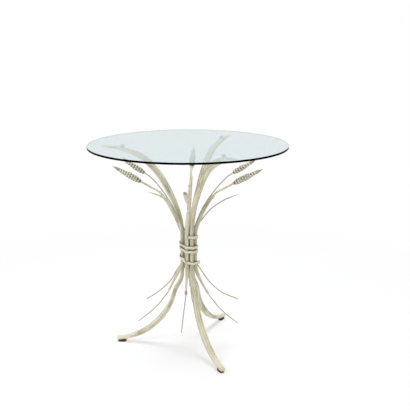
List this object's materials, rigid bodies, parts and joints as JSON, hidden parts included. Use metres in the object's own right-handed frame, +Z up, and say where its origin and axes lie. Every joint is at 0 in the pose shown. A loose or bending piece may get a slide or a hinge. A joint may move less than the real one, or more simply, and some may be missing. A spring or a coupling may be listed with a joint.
{
  "type": "side table",
  "caption": "Side table with a round clear glass top on a painted metal wheat sheaf whose stalks flare into legs below and ears above a strapped waist.",
  "frame": {"origin": "on the floor, on the axis of the sheaf and of the round top", "axes": "+Z up, -X towards the left leg, -Y towards the viewer"},
  "size_m": [0.6099, 0.61, 0.655],
  "materials": {
    "glass": "clear polished glass, green at the edge",
    "cream_paint": "antique cream paint with an olive brown glaze in the hollows",
    "glide_rubber": "black rubber",
    "bumper_vinyl": "clear soft vinyl"
  },
  "bodies": {
    "base": {"core": "cream_paint", "leg_left": "cream_paint", "leg_front": "cream_paint", "leg_back": "cream_paint", "right_sheath": "cream_paint", "right_stem": "cream_paint", "right_ear": "cream_paint", "right_tail": "cream_paint", "back_sheath": "cream_paint", "back_stem": "cream_paint", "back_ear": "cream_paint", "back_tail": "cream_paint", "front_sheath": "cream_paint", "front_stem": "cream_paint", "front_ear": "cream_paint", "front_tail": "cream_paint", "left_sheath": "cream_paint", "left_stem": "cream_paint", "left_ear": "cream_paint", "left_tail": "cream_paint", "inner_right_stem": "cream_paint", "inner_right_ear": "cream_paint", "inner_left_stem": "cream_paint", "inner_left_ear": "cream_paint", "right_awn": "cream_paint", "left_awn": "cream_paint", "centre_leaf": "cream_paint", "strap": "cream_paint", "glide_left": "glide_rubber", "glide_front": "glide_rubber", "glide_back": "glide_rubber", "bumper_left": "bumper_vinyl", "bumper_front": "bumper_vinyl", "bumper_back": "bumper_vinyl"},
    "glass": {"glass_top": "glass"}
  },
  "joints": [
    {"name": "glass_lift", "type": "slide", "parent": "base", "child": "glass", "axis": [0, 0, 1], "range_m": [0, 0.1]}
  ]
}
